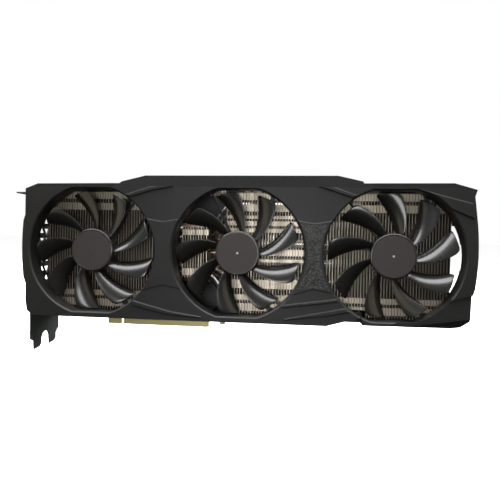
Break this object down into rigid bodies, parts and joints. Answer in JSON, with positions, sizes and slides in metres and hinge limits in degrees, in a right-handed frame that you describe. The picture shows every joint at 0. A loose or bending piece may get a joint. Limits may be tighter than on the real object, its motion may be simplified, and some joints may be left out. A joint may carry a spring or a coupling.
{
  "type": "graphics card",
  "caption": "Triple-fan graphics card with a black shroud, finned heat-pipe cooler, circuit board, backplate and two-slot bracket.",
  "frame": {"origin": "on the bracket's outer face, at the circuit board's component face, level with the edge connector's tip", "axes": "+X along the card away from the bracket, -Y out of the fans, +Z away from the edge connector"},
  "size_m": [0.3292, 0.0536, 0.1313],
  "materials": {
    "shroud_plastic": "fine moulded grain, one pebbled panel",
    "black_screw": "black oxide",
    "fin_aluminium": "thin sheet, plain",
    "nickel_pipe": "nickel plated copper, satin",
    "nickel_plate": "nickel plated, brushed",
    "black_anodised": "black anodised",
    "circuit_board": "dark solder mask",
    "gold_contact": "gold plated",
    "package_green": "laminate",
    "die_silicon": "polished silicon",
    "chip_epoxy": "moulded epoxy",
    "pad_rubber": "soft thermal pad",
    "ferrite": "pressed metal powder",
    "can_aluminium": "drawn can",
    "socket_nylon": "black nylon",
    "header_nylon": "natural nylon",
    "bracket_steel": "black powder coat on steel",
    "socket_steel": "drawn shell",
    "backplate_paint": "black anodised sheet",
    "fan_plastic": "semi-gloss moulded",
    "yoke_steel": "bright steel",
    "magnet_ferrite": "bonded ferrite",
    "frame_plastic": "black moulded",
    "bearing_brass": "sintered sleeve",
    "copper_wire": "enamelled copper wire",
    "lead_pvc": "black sheath"
  },
  "bodies": {
    "card": {"shroud": "shroud_plastic", "shroud_screws": "black_screw", "fin_stack_left": "fin_aluminium", "fin_stack_middle": "fin_aluminium", "fin_stack_right": "fin_aluminium", "heat_pipes": "nickel_pipe", "cold_plate": "nickel_plate", "base_plate": "black_anodised", "pcb": "circuit_board", "edge_contacts": "gold_contact", "gpu_substrate": "package_green", "gpu_die": "die_silicon", "package_frame": "nickel_plate", "memory_chips": "chip_epoxy", "thermal_pads": "pad_rubber", "chokes": "ferrite", "power_stages": "chip_epoxy", "capacitors": "can_aluminium", "power_sockets": "socket_nylon", "power_pins": "gold_contact", "fan_headers": "header_nylon", "fan_plugs": "header_nylon", "fan_screws": "black_screw", "io_bracket": "bracket_steel", "bracket_screws": "black_screw", "displayport_sockets": "socket_steel", "hdmi_socket": "socket_steel", "backplate": "backplate_paint", "backplate_screws": "black_screw", "cooler_screws": "nickel_plate", "fan_left_frame": "frame_plastic", "fan_left_bearing": "bearing_brass", "fan_left_stator": "yoke_steel", "fan_left_windings": "copper_wire", "fan_left_motor_board": "circuit_board", "fan_left_lead": "lead_pvc", "fan_middle_frame": "frame_plastic", "fan_middle_bearing": "bearing_brass", "fan_middle_stator": "yoke_steel", "fan_middle_windings": "copper_wire", "fan_middle_motor_board": "circuit_board", "fan_middle_lead": "lead_pvc", "fan_right_frame": "frame_plastic", "fan_right_bearing": "bearing_brass", "fan_right_stator": "yoke_steel", "fan_right_windings": "copper_wire", "fan_right_motor_board": "circuit_board", "fan_right_lead": "lead_pvc"},
    "fan_left": {"fan_left_rotor": "fan_plastic", "fan_left_yoke": "yoke_steel", "fan_left_magnet": "magnet_ferrite", "fan_left_shaft": "yoke_steel"},
    "fan_middle": {"fan_middle_rotor": "fan_plastic", "fan_middle_yoke": "yoke_steel", "fan_middle_magnet": "magnet_ferrite", "fan_middle_shaft": "yoke_steel"},
    "fan_right": {"fan_right_rotor": "fan_plastic", "fan_right_yoke": "yoke_steel", "fan_right_magnet": "magnet_ferrite", "fan_right_shaft": "yoke_steel"}
  },
  "joints": [
    {"name": "fan_left_spin", "type": "hinge", "parent": "card", "child": "fan_left", "pos_m": [0.0528, -0.038, 0.0617], "axis": [0, -1, 0], "continuous": true},
    {"name": "fan_middle_spin", "type": "hinge", "parent": "card", "child": "fan_middle", "pos_m": [0.1586, -0.038, 0.0617], "axis": [0, -1, 0], "continuous": true},
    {"name": "fan_right_spin", "type": "hinge", "parent": "card", "child": "fan_right", "pos_m": [0.2644, -0.038, 0.0617], "axis": [0, -1, 0], "continuous": true}
  ]
}
